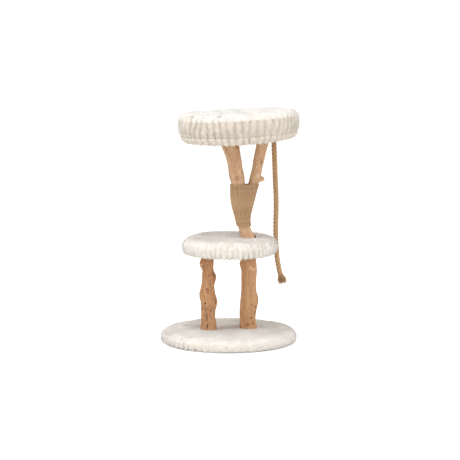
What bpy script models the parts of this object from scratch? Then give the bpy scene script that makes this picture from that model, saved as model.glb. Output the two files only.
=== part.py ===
"""A cat tree: natural wood posts and a forked branch carry a small platform and a round bed.

Metres, +Z up, +X to the right and +Y to the back. The origin is the centre of the base, on the floor.
"""

import math

import bmesh
import bpy
from mathutils import Matrix, Vector

# Shared sizes
GAP = 0.0003  # left between pieces that touch
BOARD = 0.015  # thickness of each of the three boards
FULL_TURN = 2 * math.pi
ROUND_STEPS = 36
SHARP_EDGE = math.radians(35)

# Hardware
BOLT_RADIUS = 0.004
BOLT_HEAD_WIDTH = 0.013  # across the flats
BOLT_HEAD_HEIGHT = 0.0053
BOLT_LENGTH = 0.062
SCREW_RADIUS = 0.003
SCREW_HEAD_WIDTH = 0.010
SCREW_HEAD_HEIGHT = 0.004
SCREW_LENGTH = 0.058
POINT_LENGTH = 0.008
WASHER_RADIUS = 0.012
WASHER = 0.0015
POCKET_RADIUS = 0.015  # room for a washer and a head
STUD_LENGTH = 0.090

# Base
FOOT_HEIGHT = 0.005
FOOT_RADIUS = 0.015
FOOT_CIRCLE = 0.205
FOOT_COUNT = 6
BASE_RADIUS = 0.279  # outside of the plush cover
BASE_COVER_BOTTOM = 0.0015
BASE_COVER_TOP = 0.048
BASE_BOARD_RADIUS = 0.262
BASE_BOARD_BOTTOM = FOOT_HEIGHT + GAP
BASE_BOARD_TOP = BASE_BOARD_BOTTOM + BOARD
BASE_PAD_TOP = 0.0395
BASE_LIP_RADIUS = 0.236  # inner edge of the cloth turned in under the board

# Middle platform
PLATFORM_X = 0.005
PLATFORM_RADIUS = 0.193
PLATFORM_COVER_BOTTOM = 0.370
PLATFORM_COVER_TOP = 0.430
PLATFORM_BOARD_RADIUS = 0.184
PLATFORM_BOARD_BOTTOM = 0.382
PLATFORM_BOARD_TOP = PLATFORM_BOARD_BOTTOM + BOARD
PLATFORM_PAD_TOP = 0.420
PLATFORM_LIP_RADIUS = 0.162

# Bed: heights here are above the stitch line, which lies in the bed's own tilted plane
BED_CENTRE = Vector((0.0405, 0.0, 0.860))
BED_TILT = (math.radians(-2.0), math.radians(-3.0), 0.0)
BED_RADIUS = 0.243
BED_BOARD_RADIUS = 0.220
BED_BOARD_BOTTOM = -0.008
BED_BOARD_TOP = BED_BOARD_BOTTOM + BOARD
BED_TOP = 0.094
CUSHION_RADIUS = BED_RADIUS - 0.0095
CUSHION_TOP = BED_TOP - 0.010
CUSHION_SHOULDER = 0.040
SKIRT_TOP_RADIUS = 0.230
SKIRT_HEM_RADIUS = 0.214
SKIRT_DEPTH = 0.030
SKIRT_CLOTH = 0.004

# Posts and branch, as (height, x, y, radius)
KNOTTY_POST = (
    (BASE_BOARD_TOP + GAP, -0.0820, 0.005, 0.0335),
    (0.045, -0.0823, 0.005, 0.0335),
    (0.087, -0.0832, 0.005, 0.0305),
    (0.120, -0.0854, 0.006, 0.0270),
    (0.137, -0.0833, 0.006, 0.0325),
    (0.162, -0.0813, 0.006, 0.0345),
    (0.187, -0.0860, 0.005, 0.0345),
    (0.204, -0.0874, 0.005, 0.0325),
    (0.237, -0.0833, 0.004, 0.0285),
    (0.271, -0.0813, 0.004, 0.0300),
    (0.296, -0.0854, 0.004, 0.0228),
    (0.321, -0.0880, 0.003, 0.0270),
    (PLATFORM_BOARD_BOTTOM - GAP, -0.0860, 0.002, 0.0275),
)
SMOOTH_POST = (
    (BASE_BOARD_TOP + GAP, 0.0836, 0.035, 0.0370),
    (0.044, 0.0836, 0.034, 0.0367),
    (0.082, 0.0795, 0.032, 0.0326),
    (0.116, 0.0797, 0.030, 0.0360),
    (0.149, 0.0845, 0.027, 0.0380),
    (0.174, 0.0863, 0.025, 0.0388),
    (0.200, 0.0836, 0.023, 0.0330),
    (0.300, 0.0840, 0.016, 0.0325),
    (0.338, 0.0846, 0.013, 0.0300),
    (PLATFORM_BOARD_BOTTOM - GAP, 0.0850, 0.010, 0.0310),
)
LONG_ARM = (
    (PLATFORM_BOARD_TOP + GAP, 0.0870, -0.016, 0.0325),
    (0.415, 0.0864, -0.016, 0.0335),
    (0.444, 0.0755, -0.016, 0.0295),
    (0.473, 0.0655, -0.015, 0.0255),
    (0.506, 0.0585, -0.014, 0.0260),
    (0.539, 0.0520, -0.013, 0.0280),
    (0.572, 0.0437, -0.013, 0.0285),
    (0.605, 0.0400, -0.012, 0.0285),
    (0.655, 0.0388, -0.010, 0.0285),
    (0.687, 0.0330, -0.008, 0.0330),
    (0.719, 0.0285, -0.007, 0.0305),
    (0.752, 0.0224, -0.006, 0.0315),
    (0.785, 0.0140, -0.005, 0.0340),
    (0.812, 0.0060, -0.004, 0.0390),
    (0.860, -0.0080, -0.004, 0.0460),
)
SHORT_ARM = (
    (0.500, 0.0600, -0.012, 0.0200),
    (0.539, 0.0665, -0.009, 0.0235),
    (0.572, 0.0742, -0.006, 0.0245),
    (0.605, 0.0833, -0.003, 0.0240),
    (0.638, 0.0935, 0.001, 0.0220),
    (0.655, 0.1010, 0.003, 0.0215),
    (0.687, 0.1110, 0.006, 0.0235),
    (0.719, 0.1179, 0.008, 0.0224),
    (0.752, 0.1240, 0.010, 0.0238),
    (0.785, 0.1315, 0.012, 0.0240),
    (0.860, 0.1470, 0.016, 0.0290),
)
LIMB_STEPS = 14
RING_SPACING = 0.018
LONG_ARM_TOP = (0.000, -0.004)  # where each arm's screw goes in, in X and Y
SHORT_ARM_TOP = (0.1405, 0.016)
KNOTTY_POST_XY = (-0.083, 0.005)
SMOOTH_POST_XY = (0.0836, 0.033)
STUD_XY = (0.0860, -0.003)
KNOTTY_COLLAR_RADIUS = 0.0385  # the holes that the posts pass through in the base's pad and cover
SMOOTH_COLLAR_RADIUS = 0.0405
STEM_COLLAR_XY = (0.0838, -0.016)  # the hole that the leaning stem passes through in the pad and cover
STEM_COLLAR_RADIUS = 0.0422

# Knots, as (height, direction in degrees, width, how far it stands out)
KNOTTY_POST_KNOTS = (
    (0.316, 195, 0.012, 0.0070),
    (0.190, 190, 0.010, 0.0050),
    (0.160, 350, 0.014, 0.0045),
    (0.268, 340, 0.014, 0.0040),
    (0.150, 100, 0.018, 0.0060),
    (0.250, 80, 0.014, 0.0050),
)
SMOOTH_POST_KNOTS = (
    (0.322, 182, 0.014, 0.0080),
    (0.296, 5, 0.010, 0.0030),
    (0.120, 95, 0.016, 0.0050),
    (0.060, 200, 0.014, 0.0030),
)
LONG_ARM_KNOTS = ((0.424, 350, 0.012, 0.0040), (0.690, 260, 0.014, 0.0020))
SHORT_ARM_KNOTS = ((0.720, 80, 0.010, 0.0025),)
SPUR_BASE = Vector((0.112, 0.004, 0.669))
SPUR_TIP = Vector((0.147, 0.001, 0.676))
SPUR_RADII = (0.014, 0.0090)

# Wrap
WRAP_BOTTOM = 0.480
WRAP_TOP = 0.655
WRAP = 0.0042
WRAP_CLEARANCE = 0.0012
WRAP_STEPS = 24
WRAP_RINGS = 7

# Rope
ROPE_RADIUS = 0.009
ROPE_XY = (0.1865, 0.095)
ROPE_ROUTE = (
    (0.7910, 0.1880, 0.0950),
    (0.7250, 0.1910, 0.0950),
    (0.6580, 0.1935, 0.0955),
    (0.5920, 0.1965, 0.0960),
    (0.5250, 0.1970, 0.0965),
    (0.4830, 0.1960, 0.0970),
    (0.4030, 0.1965, 0.0970),
    (0.3440, 0.2010, 0.0990),
    (0.3110, 0.2052, 0.1010),
    (0.2660, 0.2140, 0.1040),
)
ROPE_POINTS = 15
ROPE_SIDES = 2  # bevel resolution, 8 sides
ROPE_DROP = 0.0015  # clear height between the knot's neck and the rope's round top
TUFT = (
    (0.2632, 0.2146, 0.1042, 0.0092),
    (0.2500, 0.2175, 0.1052, 0.0100),
    (0.2380, 0.2205, 0.1062, 0.0130),
    (0.2270, 0.2225, 0.1070, 0.0150),
)
KNOT_RADIUS = 0.0165
KNOT_HEIGHT = 0.022
ROPE_HOLE_RADIUS = 0.0098

# Gathering elastics
ELASTIC_RADIUS = 0.0015
ELASTIC_SIDES = 4


def linear(red, green, blue):
    """A colour given as everyday 0 to 255 values, in the linear values that a shader takes."""
    return tuple((value / 255) ** 2.2 for value in (red, green, blue)) + (1.0,)


def add_material(name, colour, roughness, metallic=0.0):
    material = bpy.data.materials.new(name)
    material.use_nodes = True
    shader = material.node_tree.nodes["Principled BSDF"]
    shader.inputs["Base Color"].default_value = colour
    shader.inputs["Roughness"].default_value = roughness
    shader.inputs["Metallic"].default_value = metallic
    return material


def add_object(name, shape, material, parent=None):
    """An object from a bmesh, with its faces turned outwards and its round sides smooth."""
    bmesh.ops.recalc_face_normals(shape, faces=shape.faces)
    mesh = bpy.data.meshes.new(name)
    shape.to_mesh(mesh)
    shape.free()
    mesh.shade_smooth()
    mesh.set_sharp_from_angle(angle=SHARP_EDGE)
    made = bpy.data.objects.new(name, mesh)
    made.data.materials.append(material)
    made.parent = parent
    bpy.context.scene.collection.objects.link(made)
    return made


def bridge(shape, lower, upper):
    """Faces between two rings of points. A ring of one point is a pole."""
    count = max(len(lower), len(upper))
    if count == 1:
        return
    for i in range(count):
        j = (i + 1) % count
        corners = [lower[i % len(lower)], lower[j % len(lower)], upper[j % len(upper)], upper[i % len(upper)]]
        shape.faces.new(list(dict.fromkeys(corners)))


def turned_shape(outline_at, steps):
    """Turns a closed outline of (radius, height) points about Z. outline_at gives it at each angle."""
    shape = bmesh.new()
    angles = [FULL_TURN * step / steps for step in range(steps)]
    outlines = [outline_at(angle) for angle in angles]
    rings = []
    for index, (first_radius, first_height) in enumerate(outlines[0]):
        if first_radius == 0:
            rings.append([shape.verts.new((0, 0, first_height))])
            continue
        ring = []
        for angle, outline in zip(angles, outlines):
            radius, height = outline[index]
            ring.append(shape.verts.new((radius * math.cos(angle), radius * math.sin(angle), height)))
        rings.append(ring)
    for lower, upper in zip(rings, rings[1:] + rings[:1]):
        bridge(shape, lower, upper)
    return shape


def turned(name, outline, material, place=(0, 0, 0), parent=None, steps=ROUND_STEPS):
    """A turned object. The outline is a list of (radius, height), or a function of the angle."""
    outline_at = outline if callable(outline) else lambda angle: outline
    made = add_object(name, turned_shape(outline_at, steps), material, parent)
    made.location = place
    return made


def smooth_at(stations, height):
    """The values after the first in each station, on a smooth curve over the first, which rises or falls."""
    if stations[0][0] > stations[-1][0]:
        stations = stations[::-1]
    index = 0
    while index < len(stations) - 2 and height > stations[index + 1][0]:
        index += 1

    def slope(at):
        before, after = stations[max(at - 1, 0)], stations[min(at + 1, len(stations) - 1)]
        return [(b - a) / (after[0] - before[0]) for a, b in zip(before[1:], after[1:])]

    start, end = stations[index], stations[index + 1]
    span = end[0] - start[0]
    t = (height - start[0]) / span
    start_weight = (1 + 2 * t) * (1 - t) ** 2
    end_weight = t * t * (3 - 2 * t)
    start_pull = span * t * (1 - t) ** 2
    end_pull = span * t * t * (t - 1)
    return [
        start_weight * a + end_weight * b + start_pull * c + end_pull * d
        for a, b, c, d in zip(start[1:], end[1:], slope(index), slope(index + 1))
    ]


def knot_bulge(knots, height, angle, radius):
    bulge = 0
    for knot_height, direction, width, depth in knots:
        turn = math.remainder(angle - math.radians(direction), FULL_TURN)
        distance = math.hypot(height - knot_height, turn * radius)
        bulge += depth * math.exp(-((distance / width) ** 2))
    return bulge


def limb_shape(stations, knots=(), out_of_round=0.0, top=None):
    """A grown wood limb with level rings. top gives the height of a slanting cut at each x and y."""
    shape = bmesh.new()
    bottom, end = stations[0][0], stations[-1][0]
    count = round((end - bottom) / RING_SPACING)
    rings = []
    for step in range(count + 1):
        height = bottom + (end - bottom) * step / count
        x, y, radius = smooth_at(stations, height)
        ring = []
        for side in range(LIMB_STEPS):
            angle = FULL_TURN * side / LIMB_STEPS
            swell = math.sin(2 * angle + 21 * height) + 0.6 * math.sin(3 * angle - 34 * height)
            reach = radius * (1 + out_of_round * swell) + knot_bulge(knots, height, angle, radius)
            at_x = x + reach * math.cos(angle)
            at_y = y + reach * math.sin(angle)
            at_z = top(at_x, at_y) if top and step == count else height
            ring.append(shape.verts.new((at_x, at_y, at_z)))
        rings.append(ring)
    for lower, upper in zip(rings, rings[1:]):
        bridge(shape, lower, upper)
    shape.faces.new(rings[0])
    shape.faces.new(rings[-1])
    return shape


def as_tool(made):
    """Hides an object that only shapes another one."""
    made.hide_render = True
    made.display_type = "WIRE"
    return made


def combine(target, tool, operation):
    modifier = target.modifiers.new(tool.name, "BOOLEAN")
    modifier.operation = operation
    modifier.object = as_tool(tool)


def drill(target, place, height, radius, parent=None, steps=16):
    """A round hole that goes up from place, along the Z axis of the parent."""
    shape = bmesh.new()
    bmesh.ops.create_cone(
        shape, cap_ends=True, segments=steps, radius1=radius, radius2=radius, depth=height,
        matrix=Matrix.Translation((0, 0, height / 2)),
    )
    tool = add_object(f"{target.name}_hole", shape, target.data.materials[0], parent)
    tool.location = place
    combine(target, tool, "DIFFERENCE")


def bolt_outline(head_width, head_height, radius, length):
    """A hexagon head at height 0 and a pointed shank above it. Twelve steps give its corners and flats."""

    def outline(angle):
        off_flat = math.remainder(angle - math.pi / 6, math.pi / 3)
        head = head_width / 2 / math.cos(off_flat)
        return [
            (0, 0), (head, 0), (head, head_height), (radius, head_height),
            (radius, length - POINT_LENGTH), (radius / 4, length), (0, length),
        ]  # fmt: skip

    return outline


def add_fastener(name, place, upwards, materials, parent=None, small=False):
    """A bolt or screw and its washer. place is where the washer meets the board."""
    width = SCREW_HEAD_WIDTH if small else BOLT_HEAD_WIDTH
    height = SCREW_HEAD_HEIGHT if small else BOLT_HEAD_HEIGHT
    radius = SCREW_RADIUS if small else BOLT_RADIUS
    length = SCREW_LENGTH if small else BOLT_LENGTH
    way = 1 if upwards else -1
    place = Vector(place)
    washer_place = place - Vector((0, 0, way * (GAP + WASHER)))
    head_place = washer_place - Vector((0, 0, way * (GAP + height)))
    bore = radius + GAP
    washer = [(bore, 0), (WASHER_RADIUS, 0), (WASHER_RADIUS, WASHER), (bore, WASHER)]
    washer_name = name.replace("bolt", "washer").replace("screw", "washer")
    bolt = bolt_outline(width, height, radius, length)
    made = [
        turned(washer_name, washer, materials["zinc"], washer_place, parent, steps=20),
        turned(name, bolt, materials["zinc"], head_place, parent, steps=12),
    ]
    if not upwards:
        for piece in made:
            piece.rotation_euler = (math.pi, 0, 0)


def disc(radius, bottom, top, edge=0.001):
    """A flat disc with its edges taken off."""
    lower = [(0, bottom), (radius - edge, bottom), (radius, bottom + edge)]
    return lower + [(radius, top - edge), (radius - edge, top), (0, top)]


def pad_outline(radius, bottom, top, shoulder):
    """A foam disc with a rounded upper edge."""
    points = [(0, bottom), (radius, bottom)]
    for step in range(4):
        turn = math.pi / 2 * step / 3
        points.append((radius - shoulder * (1 - math.cos(turn)), top - shoulder * (1 - math.sin(turn))))
    return points + [(0, top)]


def ring_outline(radius, height):
    """A round elastic, as a turned circle."""
    return [
        (
            radius + ELASTIC_RADIUS * math.cos(FULL_TURN * side / ELASTIC_SIDES),
            height + ELASTIC_RADIUS * math.sin(FULL_TURN * side / ELASTIC_SIDES),
        )
        for side in range(ELASTIC_SIDES)
    ]


def build_base(materials):
    for number in range(FOOT_COUNT):
        angle = FULL_TURN * (number + 0.5) / FOOT_COUNT
        place = (FOOT_CIRCLE * math.cos(angle), FOOT_CIRCLE * math.sin(angle), 0)
        foot = disc(FOOT_RADIUS, 0, FOOT_HEIGHT)
        turned(f"foot_pad_{number + 1}", foot, materials["rubber"], place, steps=16)

    board_outline = disc(BASE_BOARD_RADIUS, BASE_BOARD_BOTTOM, BASE_BOARD_TOP)
    board = turned("base_board", board_outline, materials["board"])
    pad_bottom = BASE_BOARD_TOP + GAP
    pad = turned(
        "base_pad", pad_outline(BASE_BOARD_RADIUS + 0.004, pad_bottom, BASE_PAD_TOP, 0.012), materials["foam"]
    )
    low, top, radius = BASE_COVER_BOTTOM, BASE_COVER_TOP, BASE_RADIUS
    outer = [
        (BASE_LIP_RADIUS, low), (radius - 0.010, low), (radius - 0.002, low + 0.006), (radius, 0.018),
        (radius - 0.001, 0.030), (radius - 0.007, 0.040), (radius - 0.020, 0.0455), (0, top),
    ]  # fmt: skip
    inner = [
        (0, top - 0.0065), (radius - 0.022, 0.0405), (radius - 0.0095, 0.0355), (radius - 0.005, 0.029),
        (radius - 0.004, 0.018), (radius - 0.0055, low + 0.007), (radius - 0.012, low + 0.003),
        (BASE_LIP_RADIUS, low + 0.003),
    ]  # fmt: skip
    cover = turned("base_cover", outer + inner, materials["plush"])
    elastic = ring_outline(BASE_LIP_RADIUS - ELASTIC_RADIUS - GAP, low + ELASTIC_RADIUS)
    turned("base_hem_elastic", elastic, materials["elastic"])

    recess = BOLT_HEAD_HEIGHT + WASHER - 0.001
    posts = (("left", KNOTTY_POST_XY, KNOTTY_COLLAR_RADIUS), ("right", SMOOTH_POST_XY, SMOOTH_COLLAR_RADIUS))
    for side, (x, y), collar in posts:
        drill(board, (x, y, 0), BASE_BOARD_TOP + 0.01, BOLT_RADIUS + GAP)
        drill(board, (x, y, 0), BASE_BOARD_BOTTOM + recess, POCKET_RADIUS, steps=20)
        add_fastener(f"base_bolt_{side}", (x, y, BASE_BOARD_BOTTOM + recess), True, materials)
        for soft in (pad, cover):
            drill(soft, (x, y, BASE_BOARD_TOP - 0.005), 0.05, collar, steps=24)


def build_posts(materials):
    knotty = limb_shape(KNOTTY_POST, KNOTTY_POST_KNOTS, out_of_round=0.030)
    smooth = limb_shape(SMOOTH_POST, SMOOTH_POST_KNOTS, out_of_round=0.012)
    left = add_object("knotty_post", knotty, materials["driftwood"])
    right = add_object("smooth_post", smooth, materials["branch_wood"])
    for post, (x, y) in ((left, KNOTTY_POST_XY), (right, SMOOTH_POST_XY)):
        drill(post, (x, y, 0), BOLT_LENGTH + 0.006, BOLT_RADIUS + GAP, steps=12)
    pilot = PLATFORM_BOARD_TOP - BOLT_LENGTH
    drill(left, (KNOTTY_POST_XY[0], KNOTTY_POST_XY[1], pilot), BOLT_LENGTH, BOLT_RADIUS + GAP, steps=12)
    stud_bottom = PLATFORM_BOARD_BOTTOM - STUD_LENGTH / 2
    drill(right, (*STUD_XY, stud_bottom), STUD_LENGTH, BOLT_RADIUS + GAP, steps=12)


def build_platform(materials):
    place = (PLATFORM_X, 0, 0)
    board_outline = disc(PLATFORM_BOARD_RADIUS, PLATFORM_BOARD_BOTTOM, PLATFORM_BOARD_TOP)
    board = turned("platform_board", board_outline, materials["board"], place)
    pad_shape = pad_outline(PLATFORM_BOARD_RADIUS - 0.001, PLATFORM_BOARD_TOP + GAP, PLATFORM_PAD_TOP, 0.018)
    pad = turned("platform_pad", pad_shape, materials["foam"], place)
    low, top, radius = PLATFORM_COVER_BOTTOM, PLATFORM_COVER_TOP, PLATFORM_RADIUS
    outer = [
        (PLATFORM_LIP_RADIUS, low + 0.003), (radius - 0.016, low), (radius - 0.005, low + 0.007),
        (radius, low + 0.022), (radius - 0.002, low + 0.037), (radius - 0.010, low + 0.048),
        (radius - 0.026, low + 0.0545), (0, top),
    ]  # fmt: skip
    inner = [
        (0, top - 0.0065), (radius - 0.027, low + 0.0525), (radius - 0.0125, low + 0.0445),
        (radius - 0.006, low + 0.036), (radius - 0.004, low + 0.022), (radius - 0.0085, low + 0.009),
        (radius - 0.017, low + 0.004), (PLATFORM_LIP_RADIUS, low + 0.007),
    ]  # fmt: skip
    cover = turned("platform_cover", outer + inner, materials["plush"], place)
    elastic = ring_outline(PLATFORM_LIP_RADIUS - ELASTIC_RADIUS - GAP, low + 0.005)
    turned("platform_hem_elastic", elastic, materials["elastic"], place)

    x, y = KNOTTY_POST_XY
    for hole_x, hole_y in (KNOTTY_POST_XY, STUD_XY):
        drill(board, (hole_x - PLATFORM_X, hole_y, 0), PLATFORM_BOARD_TOP + 0.01, BOLT_RADIUS + GAP, board)
    drill(pad, (x - PLATFORM_X, y, 0), PLATFORM_PAD_TOP - 0.005, POCKET_RADIUS, pad, steps=20)
    add_fastener("platform_bolt", (x, y, PLATFORM_BOARD_TOP), False, materials)
    collar_x, collar_y = STEM_COLLAR_XY
    for soft in (pad, cover):
        place = (collar_x - PLATFORM_X, collar_y, PLATFORM_BOARD_TOP - 0.005)
        drill(soft, place, 0.06, STEM_COLLAR_RADIUS, soft, steps=24)
    reach = STUD_LENGTH / 2
    half = [(BOLT_RADIUS, reach - POINT_LENGTH / 2), (BOLT_RADIUS / 2, reach), (0, reach)]
    stud = [(radius, -height) for radius, height in half[::-1]] + half
    turned("branch_stud", stud, materials["zinc"], (*STUD_XY, PLATFORM_BOARD_BOTTOM + BOARD / 2), steps=12)


def bed_plane(bed, level):
    """The height of the bed's plane at each x and y. level is how far above the stitch line it lies."""
    normal = bed.matrix_local.to_3x3() @ Vector((0, 0, 1))
    point = bed.matrix_local @ Vector((0, 0, level))
    return lambda x, y: point.z - (normal.x * (x - point.x) + normal.y * (y - point.y)) / normal.z


def in_bed(bed, x, y, level):
    """The place in the bed's own axes that is at this world x and y and this level above the stitch line."""
    height = bed_plane(bed, level)(x, y)
    return bed.matrix_local.inverted() @ Vector((x, y, height))


def build_branch(materials, bed):
    cut = bed_plane(bed, BED_BOARD_BOTTOM - GAP)
    bark = materials["branch_wood"]
    branch = add_object("forked_branch", limb_shape(LONG_ARM, LONG_ARM_KNOTS, top=cut), bark)
    short_arm = add_object("short_arm_tool", limb_shape(SHORT_ARM, SHORT_ARM_KNOTS, top=cut), bark)
    combine(branch, short_arm, "UNION")
    along = SPUR_TIP - SPUR_BASE
    lean = along.to_track_quat("Z", "Y").to_matrix().to_4x4()
    spur = bmesh.new()
    bmesh.ops.create_cone(
        spur, cap_ends=True, segments=10, radius1=SPUR_RADII[0], radius2=SPUR_RADII[1], depth=along.length,
        matrix=Matrix.Translation((SPUR_BASE + SPUR_TIP) / 2) @ lean,
    )
    combine(branch, add_object("spur_tool", spur, bark), "UNION")
    drill(branch, (*STUD_XY, PLATFORM_BOARD_BOTTOM), STUD_LENGTH / 2 + BOARD, BOLT_RADIUS + GAP, steps=12)
    for x, y in (LONG_ARM_TOP, SHORT_ARM_TOP):
        place = in_bed(bed, x, y, BED_BOARD_TOP)
        drill(branch, place - Vector((0, 0, SCREW_LENGTH)), SCREW_LENGTH, SCREW_RADIUS + GAP, bed, steps=12)


def band_outline(circles):
    """The outline of a band pulled tight round circles of (x, y, radius)."""
    outline = []
    for step in range(WRAP_STEPS):
        angle = FULL_TURN * step / WRAP_STEPS
        way_x, way_y = math.cos(angle), math.sin(angle)
        x, y, radius = max(circles, key=lambda circle: circle[0] * way_x + circle[1] * way_y + circle[2])
        outline.append((x + radius * way_x, y + radius * way_y))
    return outline


def build_wrap(materials):
    """The wound cord's outer shape: a tube round both arms, open at both ends."""
    shape = bmesh.new()
    walls = []
    for offset in (WRAP_CLEARANCE, WRAP_CLEARANCE + WRAP):
        rings = []
        for step in range(WRAP_RINGS + 1):
            height = WRAP_BOTTOM + (WRAP_TOP - WRAP_BOTTOM) * step / WRAP_RINGS
            circles = []
            for arm in (LONG_ARM, SHORT_ARM):
                if height > arm[0][0]:
                    x, y, radius = smooth_at(arm, height)
                    circles.append((x, y, radius + offset))
            rings.append([shape.verts.new((x, y, height)) for x, y in band_outline(circles)])
        walls.append(rings)
    inner, outer = walls
    loop = outer + inner[::-1]
    for lower, upper in zip(loop, loop[1:] + loop[:1]):
        bridge(shape, lower, upper)
    add_object("jute_wrap", shape, materials["jute"])


def skirt_depth(angle):
    """How far the skirt hangs below the stitch line: most at the front, least at the sides."""
    from_front = angle + math.pi / 2
    return SKIRT_DEPTH + 0.004 * math.cos(2 * from_front) + 0.001 * math.cos(from_front)


def skirt_outline(angle):
    depth = skirt_depth(angle)
    middle = (SKIRT_TOP_RADIUS - 0.003, -depth * 0.5)
    return [
        (SKIRT_TOP_RADIUS, -GAP), middle, (SKIRT_HEM_RADIUS, -depth),
        (SKIRT_HEM_RADIUS - SKIRT_CLOTH, -depth + 0.001), (middle[0] - SKIRT_CLOTH, middle[1]),
        (SKIRT_TOP_RADIUS - SKIRT_CLOTH, -GAP),
    ]  # fmt: skip


def skirt_elastic(angle):
    radius = SKIRT_HEM_RADIUS - SKIRT_CLOTH - ELASTIC_RADIUS - 0.001
    return ring_outline(radius, -skirt_depth(angle) + 0.004)


def build_bed(materials, bed):
    board_outline = disc(BED_BOARD_RADIUS, BED_BOARD_BOTTOM, BED_BOARD_TOP)
    board = turned("bed_board", board_outline, materials["board"], parent=bed)
    low = BED_BOARD_TOP + GAP
    lower = [(0, low), (BED_BOARD_RADIUS, low), (CUSHION_RADIUS, 0.022)]
    upper = pad_outline(CUSHION_RADIUS, low, CUSHION_TOP, CUSHION_SHOULDER)[2:]
    cushion = turned("bed_cushion", lower + upper, materials["foam"], parent=bed)
    radius, top = BED_RADIUS, BED_TOP
    outer = [
        (radius - 0.0145, 0), (radius - 0.004, 0.014), (radius, 0.034), (radius - 0.001, 0.058),
        (radius - 0.006, top - 0.020), (radius - 0.018, top - 0.008), (radius - 0.040, top - 0.001), (0, top),
    ]  # fmt: skip
    inner = [
        (0, top - 0.006), (radius - 0.041, top - 0.0065), (radius - 0.0195, top - 0.0125),
        (radius - 0.010, top - 0.023), (radius - 0.005, 0.0565), (radius - 0.004, 0.034),
        (radius - 0.0075, 0.0165), (radius - 0.0185, 0.0005),
    ]  # fmt: skip
    turned("bed_cover", outer + inner, materials["plush"], parent=bed)
    turned("bed_skirt", skirt_outline, materials["plush"], parent=bed)
    turned("bed_hem_elastic", skirt_elastic, materials["elastic"], parent=bed)

    for side, (x, y) in (("left", LONG_ARM_TOP), ("right", SHORT_ARM_TOP)):
        place = in_bed(bed, x, y, BED_BOARD_TOP)
        drill(board, place - Vector((0, 0, 0.03)), 0.05, SCREW_RADIUS + GAP, bed)
        drill(cushion, place - Vector((0, 0, 0.01)), 0.022, POCKET_RADIUS, bed)
        add_fastener(f"bed_screw_{side}", place, False, materials, bed, small=True)
    return board, cushion


def rope_exit(bed):
    """Where the rope's middle line leaves the underside of the bed's board."""
    return bed.matrix_local @ in_bed(bed, *ROPE_XY, BED_BOARD_BOTTOM)


def build_rope(materials, bed, board, cushion):
    place = in_bed(bed, *ROPE_XY, 0)
    drill(board, place - Vector((0, 0, 0.03)), 0.06, ROPE_HOLE_RADIUS, bed)
    drill(cushion, place, KNOT_HEIGHT + BED_BOARD_TOP + 0.004, KNOT_RADIUS + 0.002, bed, steps=20)
    seat = BED_BOARD_TOP + GAP
    knot = [(0, BED_BOARD_BOTTOM + GAP), (ROPE_RADIUS, BED_BOARD_BOTTOM + GAP), (ROPE_RADIUS, seat)]
    for step in range(7):
        turn = math.pi * (step / 6 - 0.5)
        bulge = ROPE_RADIUS + (KNOT_RADIUS - ROPE_RADIUS) * math.cos(turn)
        knot.append((bulge, seat + KNOT_HEIGHT / 2 * (1 + math.sin(turn)) + GAP))
    knot.append((0, seat + KNOT_HEIGHT + 2 * GAP))
    turned("rope_knot", knot, materials["rope"], place, bed, steps=14)

    pivot_place = rope_exit(bed) - Vector((0, 0, ROPE_RADIUS + ROPE_DROP))
    pivot = bpy.data.objects.new("rope_pivot", None)
    pivot.location = pivot_place
    bpy.context.scene.collection.objects.link(pivot)
    route = ((pivot_place.z, *ROPE_XY),) + ROPE_ROUTE
    points = []
    for share in (0.0, 0.35, 0.7):
        lift = ROPE_RADIUS * (1 - share)
        points.append((Vector((*ROPE_XY, pivot_place.z + lift)), max(math.sqrt(1 - (1 - share) ** 2), 0.15)))
    bottom = route[-1][0]
    for step in range(ROPE_POINTS + 1):
        height = pivot_place.z + (bottom - pivot_place.z) * step / ROPE_POINTS
        points.append((Vector((*smooth_at(route, height), height)), 1.0))
    curve = bpy.data.curves.new("rope", "CURVE")
    curve.dimensions = "3D"
    curve.bevel_depth = ROPE_RADIUS
    curve.bevel_resolution = ROPE_SIDES
    curve.use_fill_caps = True
    spline = curve.splines.new("POLY")
    spline.points.add(len(points) - 1)
    for point, (where, share) in zip(spline.points, points):
        point.co = (*(where - pivot_place), 1)
        point.radius = share
    rope = bpy.data.objects.new("rope", curve)
    curve.materials.append(materials["rope"])
    rope.parent = pivot
    bpy.context.scene.collection.objects.link(rope)

    tuft = add_object("rope_tuft", limb_shape(TUFT[::-1]), materials["rope"], pivot)
    tuft.location = -pivot_place


def main():
    for old in list(bpy.data.objects):
        bpy.data.objects.remove(old)
    materials = {
        "plush": add_material("plush", linear(240, 236, 230), 0.95),
        "foam": add_material("foam", linear(235, 226, 190), 0.9),
        "board": add_material("board", linear(206, 178, 138), 0.6),
        "driftwood": add_material("driftwood", linear(190, 140, 92), 0.7),
        "branch_wood": add_material("branch_wood", linear(200, 155, 112), 0.6),
        "jute": add_material("jute", linear(160, 134, 106), 0.9),
        "rope": add_material("rope", linear(184, 150, 112), 0.9),
        "zinc": add_material("zinc", linear(190, 192, 195), 0.35, metallic=1.0),
        "rubber": add_material("rubber", linear(40, 40, 42), 0.8),
        "elastic": add_material("elastic", linear(236, 236, 232), 0.7),
    }
    bed = bpy.data.objects.new("bed_axes", None)
    bed.location = BED_CENTRE
    bed.rotation_euler = BED_TILT
    bpy.context.scene.collection.objects.link(bed)
    bpy.context.view_layer.update()

    build_base(materials)
    build_posts(materials)
    build_platform(materials)
    build_branch(materials, bed)
    build_wrap(materials)
    board, cushion = build_bed(materials, bed)
    build_rope(materials, bed, board, cushion)


main()
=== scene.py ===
"""The looks of a cat tree: white plush, natural wood, a wound jute wrap and a three-strand play rope.

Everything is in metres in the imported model's own frame: +X to the right, +Y to the back, +Z up.
"""

import math

import bpy
import numpy as np
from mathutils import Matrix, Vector
from mathutils.bvhtree import BVHTree


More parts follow.
